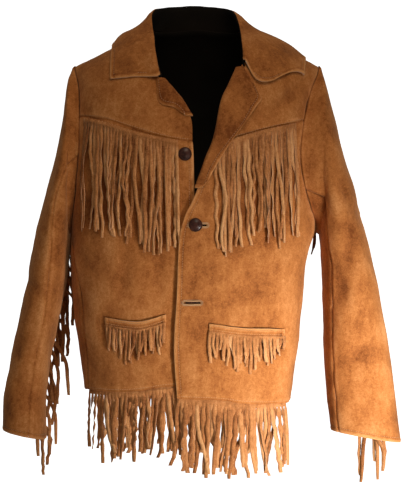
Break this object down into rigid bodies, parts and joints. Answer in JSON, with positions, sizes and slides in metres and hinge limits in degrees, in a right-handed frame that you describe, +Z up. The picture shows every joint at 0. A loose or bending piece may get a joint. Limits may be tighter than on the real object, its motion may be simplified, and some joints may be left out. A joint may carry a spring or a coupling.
{
  "type": "suede jacket",
  "caption": "Hip-length suede jacket with a turned-down collar, yokes, chest and hem fringe and pocket flaps, filled out as when worn.",
  "frame": {"origin": "midway between the neck points, at the height where the shoulders carry the jacket", "axes": "+X to the wearer's left, -Y to the front, +Z up"},
  "size_m": [0.6928, 0.2623, 0.875],
  "materials": {
    "suede": "brushed suede, matte nap",
    "suede_fringe": "cut suede strands, matte",
    "button_leather": "polished dark leather"
  },
  "bodies": {
    "root": {"back": "suede", "button_1": "button_leather", "button_2": "button_leather", "button_3": "button_leather", "collar": "suede", "fringe_chest_left": "suede_fringe", "fringe_chest_right": "suede_fringe", "fringe_hem_back": "suede_fringe", "fringe_hem_left": "suede_fringe", "fringe_hem_right": "suede_fringe", "fringe_pocket_left": "suede_fringe", "fringe_pocket_right": "suede_fringe", "fringe_sleeve_left": "suede_fringe", "fringe_sleeve_right": "suede_fringe", "front_left": "suede", "front_right": "suede", "lapel_left": "suede", "lapel_right": "suede", "pocket_left": "suede", "pocket_right": "suede", "sleeve_left_under": "suede", "sleeve_left_upper": "suede", "sleeve_right_under": "suede", "sleeve_right_upper": "suede", "yoke_left": "suede", "yoke_right": "suede"}
  },
  "joints": []
}
